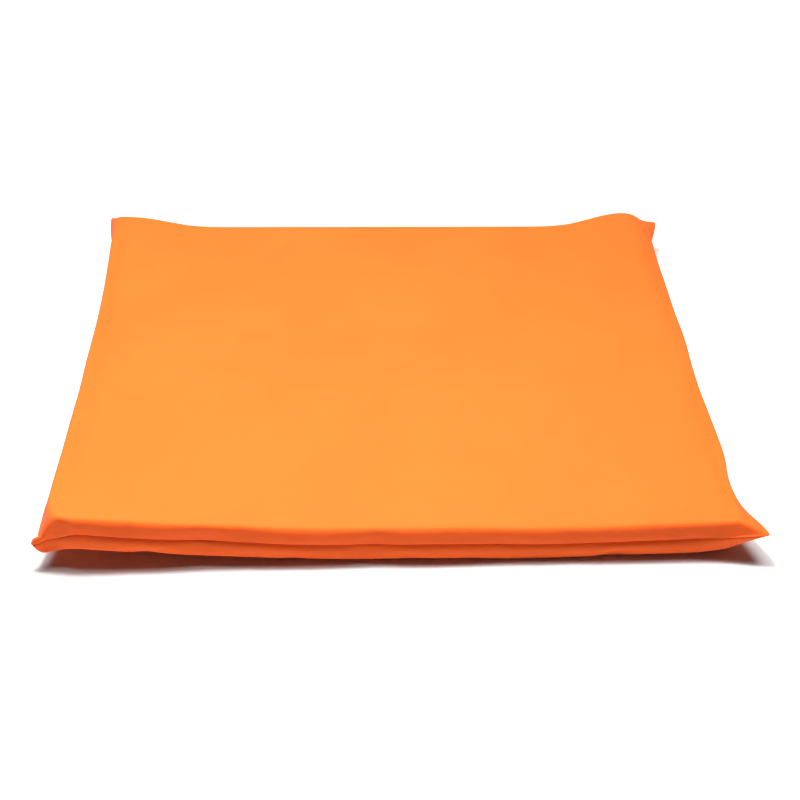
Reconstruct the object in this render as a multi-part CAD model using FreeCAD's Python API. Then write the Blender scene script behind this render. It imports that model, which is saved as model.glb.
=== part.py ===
"""Kneeling pad: a foam slab in a sewn two-panel cover with a coil zip along its back edge.

Millimetres, +Z up. The pad lies flat with its long side along X, its front edge at -Y and its
zip at +Y. The origin is on the floor under the middle of the pad.
"""
import FreeCAD
import Part
import os

from FreeCAD import Vector

# Foam slab
FOAM_LENGTH = 465.0
FOAM_WIDTH = 365.0
FOAM_THICKNESS = 33.0

# How far the four corners curl up, and how much of the width curls with them
CORNER_LIFT = 11.0
CURL_WIDTH = 62.0

# Cover
CLOTH = 0.7
WALL_GAP = 2.3
EAR_REACH = 12.5
EAR_WALL = 3.5
SHOULDER_DROP = 4.0
SEAM_THREAD = 0.5

# Zip opening in the back wall, with the room left beyond its ends and below the wall's shoulder
OPENING_LENGTH = 350.0
OPENING_MARGIN = 2.5
LIP_ROOM = 1.0
TAPE_ROOM = 0.6
TAPE_OVERRUN = 3.0
TAPE = 0.6

# Coil chain
COIL_PITCH = 1.6
COIL_THICKNESS = 2.2
COIL_HALF_WIDTH = 2.6
TOOTH_REACH = 0.5
TOOTH_GAP = 0.05
TOOTH_CLEARANCE = 0.1
TAPE_EDGE = 0.9

# Slider and its pull
SLIDER_TAIL = 1.4
SLIDER_CLEARANCE = 0.2
LIP_CLEARANCE = 0.3
SLIDER_PLATE = 1.1
SLIDER_BACK_PLATE = 1.0
SLIDER_LAYER_GAP = 0.3
FLANGE = 0.7
WEDGE_START = 0.8
WEDGE_SHOULDER = 2.0
WEDGE_HALF_WIDTH = 0.6
WEDGE_LENGTH = 4.5
WEDGE_CLEARANCE = 0.1
MOUTH_RUN = 2.0
BAIL_INNER_RADIUS = 1.3
BAIL_WALL = 1.0
BAIL_WIDTH = 1.4
CROSSBAR_RADIUS = 0.6
CROSSBAR_CLEARANCE = 0.15
PULL_THICKNESS = 1.0
PULL_LENGTH = 26.0
PULL_WIDTH = 7.0
PULL_NECK_WIDTH = 4.8
EYE_CLEARANCE = 0.4
EYE_END_CLEARANCE = 0.9
PULL_HOLE_LENGTH = 7.0
PULL_HOLE_WIDTH = 2.6

# Stitching
STITCH_PITCH = 3.2
STITCH_LENGTH = 2.5
STITCH_HEIGHT = 0.5
STITCH_DEPTH = 0.35
STITCH_INSET = 2.5
TACK_LENGTH = 2.5
TACK_SETBACK = 1.5
TACK_DEPTH = 1.0
TACK_GAP = 0.3

# Worked out from the sizes above: the pad
HALF_X = FOAM_LENGTH / 2
HALF_Y = FOAM_WIDTH / 2
FLAT_X = OPENING_LENGTH / 2 + TAPE_OVERRUN + OPENING_MARGIN
FLAT_Y = HALF_Y - CURL_WIDTH
SEAM_Z = CLOTH + FOAM_THICKNESS / 2
SHOULDER = FOAM_THICKNESS / 2 - SHOULDER_DROP
WALL_OUT = WALL_GAP + CLOTH
LIP_OUT = WALL_OUT + CLOTH

# The chain and the slider, with the slider's places along X counted from its front end
SPREAD = TOOTH_REACH + WEDGE_HALF_WIDTH + WEDGE_CLEARANCE
WEDGE_TIP = WEDGE_START + WEDGE_LENGTH
SPREAD_SLOPE = WEDGE_HALF_WIDTH / (WEDGE_TIP - WEDGE_SHOULDER)
SPREAD_END = WEDGE_SHOULDER + SPREAD / SPREAD_SLOPE
SLIDER_LENGTH = SPREAD_END + SLIDER_TAIL
SLIDER_HALF_WIDTH = COIL_HALF_WIDTH + SPREAD + SLIDER_CLEARANCE + FLANGE
LIP_EDGE = SLIDER_HALF_WIDTH + LIP_CLEARANCE
TACK_START = OPENING_LENGTH / 2 - TACK_SETBACK - TACK_LENGTH
COIL_END = TACK_START - TACK_GAP
SLIDER_FRONT = -(COIL_END - MOUTH_RUN)

# Layers at the zip, as distances outside the foam's back face
COIL_OUT = WALL_GAP + COIL_THICKNESS
PLATE_IN = COIL_OUT + SLIDER_LAYER_GAP
PLATE_OUT = PLATE_IN + SLIDER_PLATE
BACK_PLATE_OUT = WALL_GAP - TAPE - SLIDER_LAYER_GAP
PULL_AXIS = PLATE_OUT + CROSSBAR_RADIUS + CROSSBAR_CLEARANCE
PULL_AXIS_X = SLIDER_FRONT + SLIDER_LENGTH / 2
BAIL_OUTER_RADIUS = BAIL_INNER_RADIUS + BAIL_WALL
EYE_LENGTH = BAIL_OUTER_RADIUS + EYE_END_CLEARANCE


# ---------------------------------------------------------------- rings and skins

def ring(offset, height, ear=0.0):
    """Closed loop of 12 edges round the pad, `offset` outside the foam and `ear` further at each corner."""
    half_x = HALF_X + offset
    half_y = HALF_Y + offset
    middle_x = (half_x + FLAT_X) / 2
    middle_y = (half_y + FLAT_Y) / 2
    edges = []
    for turn_x, turn_y in ((1, -1), (1, 1), (-1, 1), (-1, -1)):
        tip = Vector(turn_x * (half_x + ear), turn_y * (half_y + ear), height + CORNER_LIFT)
        along_x = [
            Vector(turn_x * FLAT_X, turn_y * half_y, height),
            Vector(turn_x * middle_x, turn_y * half_y, height),
            tip,
        ]
        along_y = [
            tip,
            Vector(turn_x * half_x, turn_y * middle_y, height),
            Vector(turn_x * half_x, turn_y * FLAT_Y, height),
        ]
        if turn_x == turn_y:
            along_x.reverse()
            along_y.reverse()
            edges += [curve(along_y), curve(along_x)]
            straight = [along_x[-1], Vector(-turn_x * FLAT_X, turn_y * half_y, height)]
        else:
            edges += [curve(along_x), curve(along_y)]
            straight = [along_y[-1], Vector(turn_x * half_x, -turn_y * FLAT_Y, height)]
        edges.append(Part.LineSegment(*straight).toShape())
    return edges


def curve(points):
    """Smooth edge with its ends at the first and last point."""
    bezier = Part.BezierCurve()
    bezier.setPoles(points)
    return bezier.toShape()


def band(first, second):
    """Faces between two rings, edge by edge."""
    return [Part.makeRuledSurface(one, two) for one, two in zip(first, second)]


def cap(height):
    """Dished face over the foam's outline: a flat cross and four corners that curl up."""
    cross = []
    for turn_x, turn_y in ((1, -1), (1, 1), (-1, 1), (-1, -1)):
        points = [
            Vector(turn_x * FLAT_X, turn_y * HALF_Y, height),
            Vector(turn_x * FLAT_X, turn_y * FLAT_Y, height),
            Vector(turn_x * HALF_X, turn_y * FLAT_Y, height),
        ]
        if turn_x == turn_y:
            points.reverse()
        cross += points
    faces = [Part.Face(Part.makePolygon(cross + cross[:1]))]
    for turn_x in (-1, 1):
        for turn_y in (-1, 1):
            faces.append(corner_patch(turn_x, turn_y, height))
    return faces


def corner_patch(turn_x, turn_y, height):
    """One curled corner of a cap, whose outer point is lifted by CORNER_LIFT."""
    patch = Part.BezierSurface()
    patch.increase(2, 2)
    for row in range(3):
        for column in range(3):
            lift = CORNER_LIFT if row == 2 and column == 2 else 0.0
            point = Vector(
                turn_x * (FLAT_X + (HALF_X - FLAT_X) * row / 2),
                turn_y * (FLAT_Y + (HALF_Y - FLAT_Y) * column / 2),
                height + lift,
            )
            patch.setPole(row + 1, column + 1, point)
    return patch.toShape()


def close(faces):
    """Solid bounded by the given faces."""
    shell = Part.makeShell(faces)
    shell.sewShape()
    solid = Part.makeSolid(shell)
    if solid.Volume < 0:
        solid.reverse()
    return solid


def slab(x_range, out_range, z_range):
    """Box against the back wall: X, distance outside the foam's back face, and Z from the seam."""
    size = [high - low for low, high in (x_range, out_range, z_range)]
    corner = Vector(x_range[0], HALF_Y + out_range[0], SEAM_Z + z_range[0])
    return Part.makeBox(*size, corner)


def plate(points, out_range):
    """Flat piece parallel to the back wall with an outline given as (x, z from the seam)."""
    corners = [Vector(x, HALF_Y + out_range[0], SEAM_Z + z) for x, z in points]
    face = Part.Face(Part.makePolygon(corners + corners[:1]))
    return face.extrude(Vector(0, out_range[1] - out_range[0], 0))


# ---------------------------------------------------------------- foam and cover

def foam_slab():
    """The one-piece foam core, dished at its corners."""
    bottom = ring(0, CLOTH)
    top = ring(0, CLOTH + FOAM_THICKNESS)
    return close(cap(CLOTH) + band(bottom, top) + cap(CLOTH + FOAM_THICKNESS))


def cover_panel(side):
    """Upper (side 1) or lower (side -1) cloth panel, from its big face round to the mid-height seam."""
    inner_face = SEAM_Z + side * FOAM_THICKNESS / 2
    outer_face = inner_face + side * CLOTH
    shoulder = SEAM_Z + side * SHOULDER
    edge_out = ring(0, outer_face)
    shoulder_out = ring(WALL_OUT, shoulder)
    seam_out = ring(WALL_OUT, SEAM_Z, EAR_REACH)
    seam_in = ring(WALL_GAP, SEAM_Z, EAR_REACH - EAR_WALL)
    shoulder_in = ring(WALL_GAP, shoulder)
    edge_in = ring(0, inner_face)
    faces = cap(outer_face) + cap(inner_face)
    rings = [edge_out, shoulder_out, seam_out, seam_in, shoulder_in, edge_in]
    for first, second in zip(rings, rings[1:]):
        faces += band(first, second)
    panel = close(faces)
    return panel.fuse(opening_lip(side)).cut(opening()).removeSplitter()


def opening_lip(side):
    """Folded, double layer of cloth that borders the zip opening on one side."""
    span = OPENING_LENGTH / 2
    low, high = sorted((side * LIP_EDGE, side * (SHOULDER - LIP_ROOM)))
    return slab((-span, span), (WALL_GAP, LIP_OUT), (low, high))


def opening():
    """Space that the zip opening takes out of the back wall."""
    span = OPENING_LENGTH / 2
    return slab((-span, span), (WALL_GAP / 2, LIP_OUT + CLOTH), (-LIP_EDGE, LIP_EDGE))


def edge_seam_thread():
    """Thread line that joins the two panels round three sides and past both ends of the zip."""
    ear = EAR_REACH - EAR_WALL - SEAM_THREAD
    low = SEAM_Z - SEAM_THREAD / 2
    high = SEAM_Z + SEAM_THREAD / 2
    rings = [
        ring(WALL_GAP, low, ear),
        ring(WALL_GAP, high, ear),
        ring(WALL_GAP - SEAM_THREAD, high, ear),
        ring(WALL_GAP - SEAM_THREAD, low, ear),
    ]
    faces = []
    for index, one in enumerate(rings):
        faces += band(one, rings[(index + 1) % 4])
    reach = OPENING_LENGTH / 2 + TAPE_OVERRUN
    gap = slab((-reach, reach), (-CLOTH, LIP_OUT), (-LIP_EDGE, LIP_EDGE))
    return close(faces).cut(gap)


# ---------------------------------------------------------------- zip

def zip_tape(side):
    """Woven tape behind the lip, from beside the chain's centre line up or down the wall."""
    reach = OPENING_LENGTH / 2 + TAPE_OVERRUN
    low, high = sorted((side * TAPE_EDGE, side * (SHOULDER - TAPE_ROOM)))
    return slab((-reach, reach), (WALL_GAP - TAPE, WALL_GAP), (low, high))


def spread(x):
    """How far each coil is pushed off the centre line by the wedge of the closed slider."""
    along = x - SLIDER_FRONT
    return max(0.0, SPREAD - SPREAD_SLOPE * max(0.0, along - WEDGE_SHOULDER))


def zip_coil(side):
    """One half of the chain: a spine along the tape's edge with teeth across the centre line."""
    tooth = COIL_PITCH / 2 - TOOTH_GAP
    root = TOOTH_REACH + TOOTH_CLEARANCE
    phase = 0.0 if side > 0 else COIL_PITCH / 2
    count = int((2 * COIL_END - COIL_PITCH) / COIL_PITCH)
    points = [(-COIL_END, root + SPREAD)]
    for index in range(count):
        start = -COIL_END + phase + TOOTH_GAP + index * COIL_PITCH
        push = spread(start)
        points += [
            (start, root + push),
            (start, -TOOTH_REACH + push),
            (start + tooth, -TOOTH_REACH + push),
            (start + tooth, root + push),
        ]
    points += [
        (COIL_END, root),
        (COIL_END, COIL_HALF_WIDTH),
        (SLIDER_FRONT + SPREAD_END, COIL_HALF_WIDTH),
        (SLIDER_FRONT + WEDGE_SHOULDER, COIL_HALF_WIDTH + SPREAD),
        (-COIL_END, COIL_HALF_WIDTH + SPREAD),
    ]
    return plate([(x, side * z) for x, z in points], (WALL_GAP, COIL_OUT))


def zip_slider_body():
    """Two plates joined by a wedge, with side flanges that guide the coils and a bail for the pull."""
    rear = SLIDER_FRONT + SLIDER_LENGTH
    shoulder = SLIDER_FRONT + WEDGE_SHOULDER
    taper = SLIDER_FRONT + SPREAD_END
    inner = COIL_HALF_WIDTH + SLIDER_CLEARANCE
    outer = inner + FLANGE
    half = [
        (SLIDER_FRONT, outer + SPREAD),
        (shoulder, outer + SPREAD),
        (taper, outer),
        (rear, outer),
    ]
    outline = half + [(x, -z) for x, z in reversed(half)]
    body = plate(outline, (PLATE_IN, PLATE_OUT))
    body = body.fuse(plate(outline, (BACK_PLATE_OUT - SLIDER_BACK_PLATE, BACK_PLATE_OUT)))
    for side in (-1, 1):
        inside = [(x, z - FLANGE) for x, z in reversed(half)]
        flange = [(x, side * z) for x, z in half + inside]
        body = body.fuse(plate(flange, (WALL_GAP + SLIDER_LAYER_GAP, PLATE_IN)))
    return body.fuse([slider_wedge(), slider_bail()]).removeSplitter()


def slider_wedge():
    """The post that joins the plates and parts the coils."""
    start = SLIDER_FRONT + WEDGE_START
    shoulder = SLIDER_FRONT + WEDGE_SHOULDER
    points = [
        (start, WEDGE_HALF_WIDTH / 2),
        (shoulder, WEDGE_HALF_WIDTH),
        (SLIDER_FRONT + WEDGE_TIP, 0),
        (shoulder, -WEDGE_HALF_WIDTH),
        (start, -WEDGE_HALF_WIDTH / 2),
    ]
    return plate(points, (BACK_PLATE_OUT, PLATE_IN))


def slider_bail():
    """Half-round bridge on the front plate that holds the pull's crossbar."""
    outer = BAIL_OUTER_RADIUS
    inner = BAIL_INNER_RADIUS
    centre = Vector(PULL_AXIS_X, HALF_Y + PULL_AXIS, SEAM_Z - BAIL_WIDTH / 2)
    rise = PULL_AXIS - PLATE_OUT
    arch = Part.makeCylinder(outer, BAIL_WIDTH, centre, Vector(0, 0, 1))
    space = Part.makeCylinder(inner, BAIL_WIDTH, centre, Vector(0, 0, 1))
    low_corner = centre - Vector(outer, outer, 0)
    arch = arch.cut(Part.makeBox(2 * outer, outer, BAIL_WIDTH, low_corner))
    legs = Part.makeBox(2 * outer, rise, BAIL_WIDTH, centre - Vector(outer, rise, 0))
    gap = Part.makeBox(2 * inner, rise, BAIL_WIDTH, centre - Vector(inner, rise, 0))
    return arch.cut(space).fuse(legs.cut(gap))


def zip_pull_tab():
    """Flat pull with an eye for the bail and a round crossbar on the swing axis."""
    neck = PULL_NECK_WIDTH / 2
    wide = PULL_WIDTH / 2
    eye = BAIL_WIDTH / 2 + EYE_CLEARANCE
    start = PULL_AXIS_X
    shoulder = start + EYE_LENGTH + (wide - neck) + PULL_THICKNESS
    end = start + PULL_LENGTH
    thickness = (PULL_AXIS - PULL_THICKNESS / 2, PULL_AXIS + PULL_THICKNESS / 2)
    points = [
        (start, -neck),
        (start + EYE_LENGTH, -neck),
        (shoulder, -wide),
        (end - wide, -wide),
        (end - wide, wide),
        (shoulder, wide),
        (start + EYE_LENGTH, neck),
        (start, neck),
    ]
    tab = plate(points, thickness).fuse(disc(end - wide, wide, thickness))
    hole_start = end - wide - PULL_HOLE_LENGTH + PULL_HOLE_WIDTH
    hole_end = end - wide
    hole_half = PULL_HOLE_WIDTH / 2
    tab = tab.cut(disc(hole_start, hole_half, thickness)).cut(disc(hole_end, hole_half, thickness))
    tab = tab.cut(slab((hole_start, hole_end), thickness, (-hole_half, hole_half)))
    tab = tab.cut(slab((start, start + EYE_LENGTH), thickness, (-eye, eye)))
    low = Vector(start, HALF_Y + PULL_AXIS, SEAM_Z - neck)
    crossbar = Part.makeCylinder(CROSSBAR_RADIUS, PULL_NECK_WIDTH, low, Vector(0, 0, 1))
    return tab.fuse(crossbar).removeSplitter()


def disc(x, radius, out_range):
    """Round plate parallel to the back wall, centred on the chain's centre line."""
    base = Vector(x, HALF_Y + out_range[0], SEAM_Z)
    return Part.makeCylinder(radius, out_range[1] - out_range[0], base, Vector(0, 1, 0))


def zip_end_tack(side):
    """Dense block of stitches across both tapes that closes one end of the zip."""
    low, high = sorted((side * TACK_START, side * (TACK_START + TACK_LENGTH)))
    half = LIP_EDGE - SLIDER_CLEARANCE
    return slab((low, high), (WALL_GAP, WALL_GAP + TACK_DEPTH), (-half, half))


def zip_stitching(side):
    """Row of separate stitches on one lip, close to its fold."""
    count = int((OPENING_LENGTH - STITCH_LENGTH) / STITCH_PITCH) + 1
    first = -((count - 1) * STITCH_PITCH + STITCH_LENGTH) / 2
    middle = side * (LIP_EDGE + STITCH_INSET)
    z_range = (middle - STITCH_HEIGHT / 2, middle + STITCH_HEIGHT / 2)
    stitches = []
    for index in range(count):
        start = first + index * STITCH_PITCH
        x_range = (start, start + STITCH_LENGTH)
        stitches.append(slab(x_range, (LIP_OUT, LIP_OUT + STITCH_DEPTH), z_range))
    return Part.makeCompound(stitches)


def build():
    """Every piece by its node name."""
    return {
        "foam_slab": foam_slab(),
        "cover_top_panel": cover_panel(1),
        "cover_bottom_panel": cover_panel(-1),
        "edge_seam_thread": edge_seam_thread(),
        "zip_tape_upper": zip_tape(1),
        "zip_tape_lower": zip_tape(-1),
        "zip_coil_upper": zip_coil(1),
        "zip_coil_lower": zip_coil(-1),
        "zip_slider_body": zip_slider_body(),
        "zip_pull_tab": zip_pull_tab(),
        "zip_end_tack_left": zip_end_tack(-1),
        "zip_end_tack_right": zip_end_tack(1),
        "zip_stitching_upper": zip_stitching(1),
        "zip_stitching_lower": zip_stitching(-1),
    }


os.makedirs("parts", exist_ok=True)
for name, shape in build().items():
    shape.exportStep(os.path.join("parts", name + ".step"))
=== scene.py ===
"""A garden kneeling pad: a foam slab in an orange two-panel cover with a coil zip along its back edge."""
import logging
import math
from dataclasses import dataclass, field
from enum import Enum
from typing import Iterable, Sequence

import bmesh
import bpy
from mathutils import Euler, Matrix, Vector


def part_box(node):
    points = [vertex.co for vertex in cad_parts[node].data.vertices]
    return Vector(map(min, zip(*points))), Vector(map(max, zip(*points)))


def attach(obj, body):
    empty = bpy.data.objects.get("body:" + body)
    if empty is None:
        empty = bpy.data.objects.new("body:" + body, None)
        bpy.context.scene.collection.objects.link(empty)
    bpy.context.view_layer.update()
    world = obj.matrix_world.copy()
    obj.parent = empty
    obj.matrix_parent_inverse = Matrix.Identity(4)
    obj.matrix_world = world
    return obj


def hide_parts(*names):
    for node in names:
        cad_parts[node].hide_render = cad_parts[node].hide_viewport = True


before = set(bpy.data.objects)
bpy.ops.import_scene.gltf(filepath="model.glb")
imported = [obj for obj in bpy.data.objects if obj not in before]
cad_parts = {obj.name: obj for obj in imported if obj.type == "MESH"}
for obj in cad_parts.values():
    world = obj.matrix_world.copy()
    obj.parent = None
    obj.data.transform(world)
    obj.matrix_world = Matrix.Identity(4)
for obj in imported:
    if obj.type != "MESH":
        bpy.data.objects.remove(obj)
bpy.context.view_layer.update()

logging.basicConfig(level=logging.INFO, format="%(message)s")
LOG = logging.getLogger("kneeling_pad")

MM = 0.001
PAD = "pad"
SLIDER = "zip_slider"
PULL = "zip_pull"
CLOTH_UV = "ClothUV"
ON_WALL = 0.9999  # a place this far out, of 1, is on the block's wall
WAVE_RATE = 20.0  # the wave texture's phase for each unit of its scale
Triple = tuple[float, float, float]
Tree, Socket, Material = bpy.types.NodeTree, bpy.types.NodeSocket, bpy.types.Material
Piece, Form = bpy.types.Object, bmesh.types.BMesh
Vert, Edge, Layer = bmesh.types.BMVert, bmesh.types.BMEdge, bmesh.types.BMLayerItem
Points = tuple[tuple[float, float], ...]


# ---------------------------------------------------------------- helpers

def smoothstep(low: float, high: float, value: float) -> float:
    """Ease from 0 at `low` to 1 at `high`.

    Args:
        low: Value where the ramp starts.
        high: Value where the ramp ends.
        value: Value to look up.

    Returns:
        The ramp's height, from 0 to 1.
    """
    share = min(1.0, max(0.0, (value - low) / (high - low)))
    return share * share * (3.0 - 2.0 * share)


def linear(colour: str) -> tuple[float, float, float, float]:
    """Turn an sRGB hex colour to linear RGBA.

    Args:
        colour: Six hex digits.

    Returns:
        Linear red, green, blue and an alpha of 1.
    """
    channels = []
    for start in (0, 2, 4):
        value = int(colour[start:start + 2], 16) / 255.0
        channels.append(value / 12.92 if value <= 0.04045 else ((value + 0.055) / 1.055) ** 2.4)
    return (channels[0], channels[1], channels[2], 1.0)


def node(tree: Tree, kind: str, inputs: dict | None = None, **settings) -> bpy.types.Node:
    """Add a shader node with its settings, values and links.

    Args:
        tree: Node tree to add to.
        kind: Node type without the ShaderNode prefix.
        inputs: Value or output socket for each input, by name or index.
        **settings: Node properties.

    Returns:
        The new node.
    """
    made = tree.nodes.new("ShaderNode" + kind)
    for name, value in settings.items():
        setattr(made, name, value)
    for key, value in (inputs or {}).items():
        if isinstance(value, Socket):
            tree.links.new(value, made.inputs[key])
        else:
            made.inputs[key].default_value = value
    return made


def blank_material(name: str) -> tuple[Material, Tree]:
    """Make an empty node material.

    Args:
        name: The material's name.

    Returns:
        The material and its cleared node tree.
    """
    material = bpy.data.materials.new(name)
    material.use_nodes = True
    material.node_tree.nodes.clear()
    return material, material.node_tree


def finish_material(tree: Tree, shader: bpy.types.Node) -> None:
    """Join a shader to the material's output."""
    node(tree, "OutputMaterial", {"Surface": shader.outputs[0]})


def make_object(name: str, bm: Form, material: Material) -> Piece:
    """Turn a bmesh into a smooth-shaded object at the origin.

    Args:
        name: The object's name.
        bm: Finished bmesh, which is freed.
        material: Finish for all its faces.

    Returns:
        The new object, linked to the scene.
    """
    mesh = bpy.data.meshes.new(name)
    for face in bm.faces:
        face.smooth = True
    bm.to_mesh(mesh)
    bm.free()
    mesh.materials.append(material)
    made = bpy.data.objects.new(name, mesh)
    bpy.context.scene.collection.objects.link(made)
    return made


def settle(piece: Piece, body: str, slot: str, *nodes: str) -> Piece:
    """Say which body a piece rides on and the CAD nodes that it stands for.

    Args:
        piece: Finished piece.
        body: CAD body that it moves with.
        slot: Not used.
        *nodes: CAD nodes that it replaces.

    Returns:
        The same piece.
    """
    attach(piece, body)
    if nodes:
        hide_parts(*nodes)
    LOG.info("%s: %d faces on %s", piece.name, len(piece.data.polygons), body)
    return piece


def repeat(template: Form, places: Iterable[Matrix]) -> Form:
    """Copy a small shape to many places in one bmesh.

    Args:
        template: Shape to copy, which is freed.
        places: One transform for each copy.

    Returns:
        A bmesh with all the copies.
    """
    mesh = bpy.data.meshes.new("template")
    template.to_mesh(mesh)
    template.free()
    count = len(mesh.vertices)
    bm = bmesh.new()
    for place in places:
        bm.from_mesh(mesh)
        bm.verts.ensure_lookup_table()
        bmesh.ops.transform(bm, matrix=place, verts=bm.verts[-count:])
    bpy.data.meshes.remove(mesh)
    return bm


# ---------------------------------------------------------------- finishes

@dataclass(frozen=True)
class WovenCloth:
    """Plain-woven polyester with a soft matte face: even colour, a faint thread grid and a slight bloom."""

    name: str = "woven_polyester_orange"
    base: str = "ED5A1A"
    light: str = "EE5D1C"
    thread_mm: float = 0.9
    relief_mm: float = 0.05
    blotch_mm: float = 70.0
    slub_mm: float = 2.5
    roughness: float = 0.8
    roughness_spread: float = 0.06

    def make(self) -> Material:
        """Build the material; real threads of about 0.3 mm are drawn at three times that, so that they show.

        Returns:
            The material, which reads the panel's flat coordinates.
        """
        material, tree = blank_material(self.name)
        place = node(tree, "UVMap", uv_map=CLOTH_UV)
        height = weave_height(tree, place.outputs["UV"], self.thread_mm)
        where = node(tree, "TexCoord")
        blotch = node(tree, "TexNoise", {"Vector": where.outputs["Object"], "Scale": 1000.0 / self.blotch_mm,
                                         "Detail": 3.0, "Roughness": 0.55})
        slub = node(tree, "TexNoise", {"Vector": where.outputs["Object"], "Scale": 1000.0 / self.slub_mm,
                                       "Detail": 2.0})
        tone = node(tree, "MapRange", {"Value": blotch.outputs["Fac"], "From Min": 0.35, "From Max": 0.65})
        grain = node(tree, "MapRange", {"Value": slub.outputs["Fac"], "To Min": -0.12, "To Max": 0.12})
        mixed = node(tree, "Math", {0: tone.outputs["Result"], 1: grain.outputs["Result"]}, operation="ADD",
                     use_clamp=True)
        colour = two_tone(tree, mixed.outputs[0], self.base, self.light)
        # Painted shade: the colour is darkened by up to 7 percent where the weave is low, between the
        # threads.
        thread_shade = node(tree, "MapRange", {"Value": height, "To Min": 0.93, "To Max": 1.0})
        shaded = node(tree, "VectorMath", {0: colour, "Scale": thread_shade.outputs["Result"]},
                      operation="SCALE")
        rough = node(tree, "MapRange", {
            "Value": slub.outputs["Fac"], "To Min": self.roughness - self.roughness_spread,
            "To Max": self.roughness + self.roughness_spread})
        bump = node(tree, "Bump", {"Height": height, "Strength": 0.5, "Distance": self.relief_mm * MM})
        shader = node(tree, "BsdfPrincipled", {
            "Base Color": shaded.outputs[0], "Roughness": rough.outputs["Result"],
            "Normal": bump.outputs["Normal"], "Sheen Weight": 0.03, "Sheen Roughness": 0.5,
            "Specular IOR Level": 0.15})
        finish_material(tree, shader)
        return material


def two_tone(tree: Tree, factor: Socket, low: str, high: str) -> Socket:
    """Blend two hex colours by a factor.

    Args:
        tree: Node tree to add to.
        factor: Socket from 0 to 1.
        low: Colour at 0.
        high: Colour at 1.

    Returns:
        The colour socket.
    """
    ramp = node(tree, "ValToRGB", {"Fac": factor})
    ramp.color_ramp.elements[0].color = linear(low)
    ramp.color_ramp.elements[1].color = linear(high)
    return ramp.outputs["Color"]


def weave_height(tree: Tree, place: Socket, pitch_mm: float) -> Socket:
    """Height of a plain weave: round threads that pass over and under each other.

    Args:
        tree: Node tree to add to.
        place: Flat coordinates in metres.
        pitch_mm: Distance between threads.

    Returns:
        Height socket from 0 to 1.
    """
    scaled = node(tree, "VectorMath", {0: place, "Scale": 1.0 / (pitch_mm * MM)}, operation="SCALE")
    parts = node(tree, "SeparateXYZ", {0: scaled.outputs[0]})
    rounds = []
    cells = []
    for axis in ("X", "Y"):
        phase = node(tree, "Math", {0: parts.outputs[axis], 1: math.pi}, operation="MULTIPLY")
        wave = node(tree, "Math", {0: phase.outputs[0]}, operation="SINE")
        rounds.append(node(tree, "Math", {0: wave.outputs[0]}, operation="ABSOLUTE").outputs[0])
        cells.append(node(tree, "Math", {0: parts.outputs[axis]}, operation="FLOOR").outputs[0])
    total = node(tree, "Math", {0: cells[0], 1: cells[1]}, operation="ADD")
    over = node(tree, "Math", {0: total.outputs[0], 1: 2.0}, operation="FLOORED_MODULO")
    warp = node(tree, "Math", {0: rounds[0], 1: over.outputs[0]}, operation="MULTIPLY")
    under = node(tree, "Math", {0: 1.0, 1: over.outputs[0]}, operation="SUBTRACT")
    weft = node(tree, "Math", {0: rounds[1], 1: under.outputs[0]}, operation="MULTIPLY")
    return node(tree, "Math", {0: warp.outputs[0], 1: weft.outputs[0]}, operation="ADD").outputs[0]


@dataclass(frozen=True)
class ClosedCellFoam:
    """Cut polyethylene foam: pale, dull, with fine closed pores."""

    name: str = "closed_cell_foam_pale"
    base: str = "D8D6CE"
    pore_shade: str = "B4B1A8"
    pore_mm: float = 1.4

    def make(self) -> Material:
        """Build the material, whose pores are small round hollows with painted shade at their bottoms.

        Returns:
            The material.
        """
        material, tree = blank_material(self.name)
        where = node(tree, "TexCoord")
        cells = node(tree, "TexVoronoi", {"Vector": where.outputs["Object"], "Scale": 1000.0 / self.pore_mm})
        depth = node(tree, "MapRange", {"Value": cells.outputs["Distance"], "From Max": 0.6})
        # Painted shade: the darker colour fills the bottoms of the pores, where the bump is lowest.
        colour = two_tone(tree, depth.outputs["Result"], self.pore_shade, self.base)
        bump = node(tree, "Bump", {"Height": depth.outputs["Result"], "Strength": 0.6, "Distance": 0.3 * MM})
        shader = node(tree, "BsdfPrincipled", {"Base Color": colour, "Roughness": 0.85,
                                               "Normal": bump.outputs["Normal"], "Specular IOR Level": 0.3})
        finish_material(tree, shader)
        return material


@dataclass(frozen=True)
class SewingThread:
    """Twisted polyester sewing thread: a slight gloss, and slanting plies with painted highlight on their
    crests and painted shade in their grooves.
    """

    name: str = "polyester_thread_orange"
    base: str = "D9500F"
    light: str = "F0701F"
    ply_mm: float = 0.5
    slant: float = 35.0

    def make(self) -> Material:
        """Build the material, with plies as slanting bands along X and Z.

        Returns:
            The material.
        """
        material, tree = blank_material(self.name)
        where = node(tree, "TexCoord")
        turned = node(tree, "Mapping", {"Vector": where.outputs["Object"],
                                        "Rotation": (0.0, math.radians(self.slant), 0.0)})
        bands = 1000.0 / self.ply_mm / WAVE_RATE * math.pi
        plies = node(tree, "TexWave", {"Vector": turned.outputs[0], "Scale": bands, "Distortion": 0.4})
        # Painted highlight and shade: the base colour fills the ply grooves and the light colour the ply
        # crests.
        colour = two_tone(tree, plies.outputs["Fac"], self.base, self.light)
        bump = node(tree, "Bump", {"Height": plies.outputs["Fac"], "Strength": 0.5, "Distance": 0.05 * MM})
        shader = node(tree, "BsdfPrincipled", {"Base Color": colour, "Roughness": 0.5, "Sheen Weight": 0.2,
                                               "Normal": bump.outputs["Normal"]})
        finish_material(tree, shader)
        return material


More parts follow.
